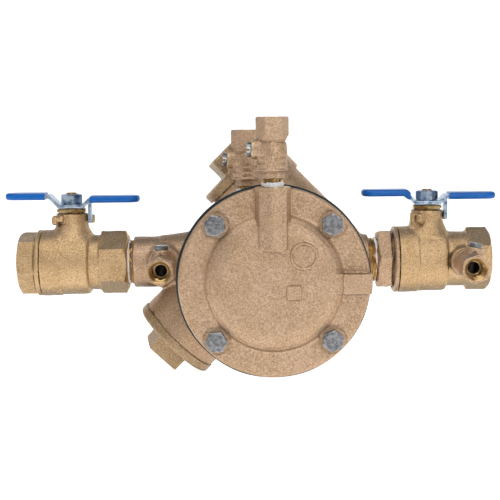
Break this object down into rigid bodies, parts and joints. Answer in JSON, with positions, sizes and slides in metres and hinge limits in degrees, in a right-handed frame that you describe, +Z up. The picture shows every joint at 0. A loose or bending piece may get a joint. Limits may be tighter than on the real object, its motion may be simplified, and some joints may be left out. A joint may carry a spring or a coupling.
{
  "type": "backflow preventer",
  "caption": "Bronze reduced-pressure backflow preventer: wye body with spring-loaded checks, a diaphragm relief valve, a ball valve with blue wing handle on each end, and test cocks.",
  "frame": {"origin": "centre of the inlet port's mouth, on the pipe axis", "axes": "+X out of the inlet port along the pipe, +Z up along the ball valves' stems, -Y towards the relief valve's cover"},
  "size_m": [0.3687, 0.1675, 0.1918],
  "materials": {
    "cast_bronze": "sand-cast bronze, grainy satin skin with fine speckle",
    "turned_brass": "machined brass and bronze, bright satin",
    "zinc_steel": "zinc-plated steel, bluish grey",
    "stainless": "stainless steel wire and plate",
    "blue_vinyl": "dipped blue vinyl, smooth satin gloss",
    "dark_rubber": "dark teal-black moulded rubber",
    "white_plastic": "white fluoropolymer ring and tape"
  },
  "bodies": {
    "body": {"main_body": "cast_bronze", "relief_cover": "cast_bronze", "relief_diaphragm": "dark_rubber", "cover_bolts": "zinc_steel", "relief_seat": "turned_brass", "relief_guide_bush": "turned_brass", "relief_spring": "stainless", "thread_tape": "white_plastic", "inlet_valve_body": "cast_bronze", "inlet_valve_adapter": "cast_bronze", "inlet_valve_seats": "white_plastic", "inlet_stem_packing": "white_plastic", "inlet_packing_nut": "turned_brass", "inlet_check_cap": "cast_bronze", "inlet_cap_o_ring": "dark_rubber", "inlet_check_seat": "turned_brass", "inlet_check_spring": "stainless", "outlet_valve_body": "cast_bronze", "outlet_valve_adapter": "cast_bronze", "outlet_valve_seats": "white_plastic", "outlet_stem_packing": "white_plastic", "outlet_packing_nut": "turned_brass", "outlet_check_cap": "cast_bronze", "outlet_cap_o_ring": "dark_rubber", "outlet_check_seat": "turned_brass", "outlet_check_spring": "stainless", "test_cock_1_body": "cast_bronze", "test_cock_2_body": "cast_bronze", "test_cock_3_body": "cast_bronze", "test_cock_4_body": "cast_bronze"},
    "inlet_handle_and_ball": {"inlet_valve_ball": "turned_brass", "inlet_valve_stem": "turned_brass", "inlet_handle": "zinc_steel", "inlet_handle_grips": "blue_vinyl", "inlet_handle_nut": "zinc_steel"},
    "inlet_check": {"inlet_check_poppet": "turned_brass", "inlet_check_disc": "dark_rubber", "inlet_disc_screw": "stainless"},
    "outlet_handle_and_ball": {"outlet_valve_ball": "turned_brass", "outlet_valve_stem": "turned_brass", "outlet_handle": "zinc_steel", "outlet_handle_grips": "blue_vinyl", "outlet_handle_nut": "zinc_steel"},
    "outlet_check": {"outlet_check_poppet": "turned_brass", "outlet_check_disc": "dark_rubber", "outlet_disc_screw": "stainless"},
    "relief_spindle": {"relief_stem": "stainless", "diaphragm_front_plate": "stainless", "diaphragm_back_plate": "stainless", "diaphragm_nut": "stainless", "relief_disc": "dark_rubber", "relief_disc_holder": "turned_brass", "relief_disc_nut": "stainless"},
    "test_cock_1_rotor": {"test_cock_1_plug": "stainless"},
    "test_cock_2_rotor": {"test_cock_2_plug": "stainless"},
    "test_cock_3_rotor": {"test_cock_3_plug": "stainless"},
    "test_cock_4_rotor": {"test_cock_4_plug": "stainless"}
  },
  "joints": [
    {"name": "inlet_handle_turn", "type": "hinge", "parent": "body", "child": "inlet_handle_and_ball", "pos_m": [-0.0461, 0, 0.04], "axis": [0, 0, 1], "range_deg": [-90, 0]},
    {"name": "inlet_check_lift", "type": "slide", "parent": "body", "child": "inlet_check", "axis": [-0.7071, 0, 0.7071], "range_m": [0, 0.008], "stiffness_N_per_m": 2000, "springref_m": -0.01, "deforming": ["inlet_check_spring"]},
    {"name": "outlet_handle_turn", "type": "hinge", "parent": "body", "child": "outlet_handle_and_ball", "pos_m": [-0.3128, 0, 0.04], "axis": [0, 0, 1], "range_deg": [-90, 0]},
    {"name": "outlet_check_lift", "type": "slide", "parent": "body", "child": "outlet_check", "axis": [-0.7071, 0, -0.7071], "range_m": [0, 0.008], "stiffness_N_per_m": 1000, "springref_m": -0.006, "deforming": ["outlet_check_spring"]},
    {"name": "relief_close", "type": "slide", "parent": "body", "child": "relief_spindle", "axis": [0, 1, 0], "range_m": [0, 0.0048], "stiffness_N_per_m": 4000, "springref_m": -0.006, "deforming": ["relief_spring", "relief_diaphragm"]},
    {"name": "test_cock_1_turn", "type": "hinge", "parent": "body", "child": "test_cock_1_rotor", "pos_m": [-0.0216, -0.051, 0.0008], "axis": [0.2079, 0, 0.9781], "range_deg": [0, 90]},
    {"name": "test_cock_2_turn", "type": "hinge", "parent": "body", "child": "test_cock_2_rotor", "pos_m": [-0.1639, -0.122, 0.0873], "axis": [-1, 0, 0], "range_deg": [0, 90]},
    {"name": "test_cock_3_turn", "type": "hinge", "parent": "body", "child": "test_cock_3_rotor", "pos_m": [-0.181, -0.044, 0.078], "axis": [-1, 0, 0], "range_deg": [0, 90]},
    {"name": "test_cock_4_turn", "type": "hinge", "parent": "body", "child": "test_cock_4_rotor", "pos_m": [-0.242, -0.049, 0.0008], "axis": [0, 0, 1], "range_deg": [0, 90]}
  ]
}
